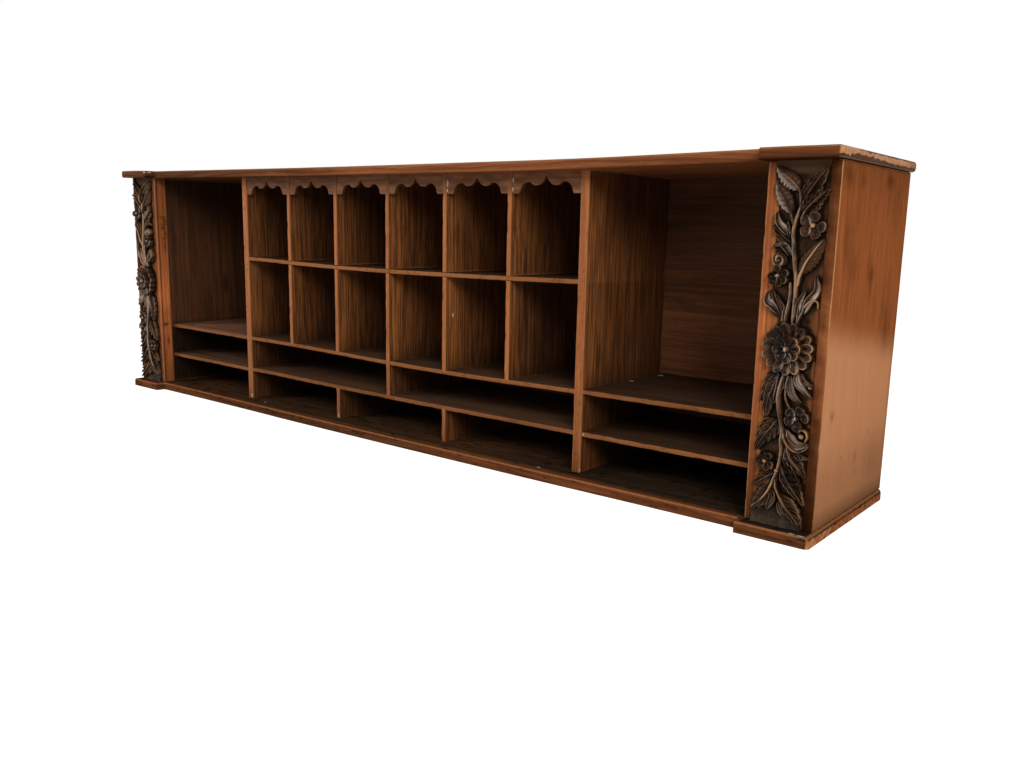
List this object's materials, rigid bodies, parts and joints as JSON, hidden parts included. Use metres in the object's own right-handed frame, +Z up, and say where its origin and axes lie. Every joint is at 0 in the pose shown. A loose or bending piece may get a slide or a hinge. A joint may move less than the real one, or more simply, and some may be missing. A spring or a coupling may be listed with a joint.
{
  "type": "pigeonhole mail sorter",
  "caption": "Long low open-fronted pine cabinet for sorting mail: pigeonholes under scalloped valances, flat slots and tall side bays between floral carved pilasters.",
  "frame": {"origin": "middle of the underside of the base board, at the centre of the bounding box seen from above", "axes": "+X along the length to the right as seen from the front, +Y from the open front to the back, +Z up"},
  "size_m": [2.34, 0.418, 0.7],
  "materials": {
    "case_pine": "stained pine with a worn wax finish, mid red-brown",
    "end_pine": "stained pine, orange-brown, upright grain",
    "inner_pine": "dark stained pine with lighter worn front edges",
    "edge_pine": "stained pine, light orange-brown on the worn front edges",
    "valance_pine": "stained pine, greyer brown",
    "back_pine": "dark stained pine boards, level grain",
    "carved_wood": "carved wood, almost black-brown, waxed, with worn lighter ridges"
  },
  "bodies": {
    "root": {"top_board": "case_pine", "base_board": "case_pine", "end_panel_left": "end_pine", "end_panel_right": "end_pine", "side_wall_left": "inner_pine", "side_wall_right": "inner_pine", "left_bay_shelf_lower": "inner_pine", "left_bay_shelf_upper": "inner_pine", "right_bay_shelf_lower": "inner_pine", "right_bay_shelf_upper": "inner_pine", "centre_shelf_lower": "inner_pine", "centre_shelf_middle": "inner_pine", "centre_shelf_upper": "inner_pine", "stile_left": "edge_pine", "stile_right": "edge_pine", "main_divider_left": "edge_pine", "main_divider_right": "edge_pine", "pigeonhole_divider_1": "edge_pine", "pigeonhole_divider_2": "edge_pine", "pigeonhole_divider_3": "edge_pine", "pigeonhole_divider_4": "edge_pine", "pigeonhole_divider_5": "edge_pine", "upper_slot_divider_3": "edge_pine", "bottom_slot_divider_2": "edge_pine", "bottom_slot_divider_4": "edge_pine", "valance_1": "valance_pine", "valance_2": "valance_pine", "valance_3": "valance_pine", "valance_4": "valance_pine", "valance_5": "valance_pine", "valance_6": "valance_pine", "back_board_lower": "back_pine", "back_board_upper": "back_pine", "carved_pilaster_left": "carved_wood", "carved_pilaster_right": "carved_wood"}
  },
  "joints": []
}
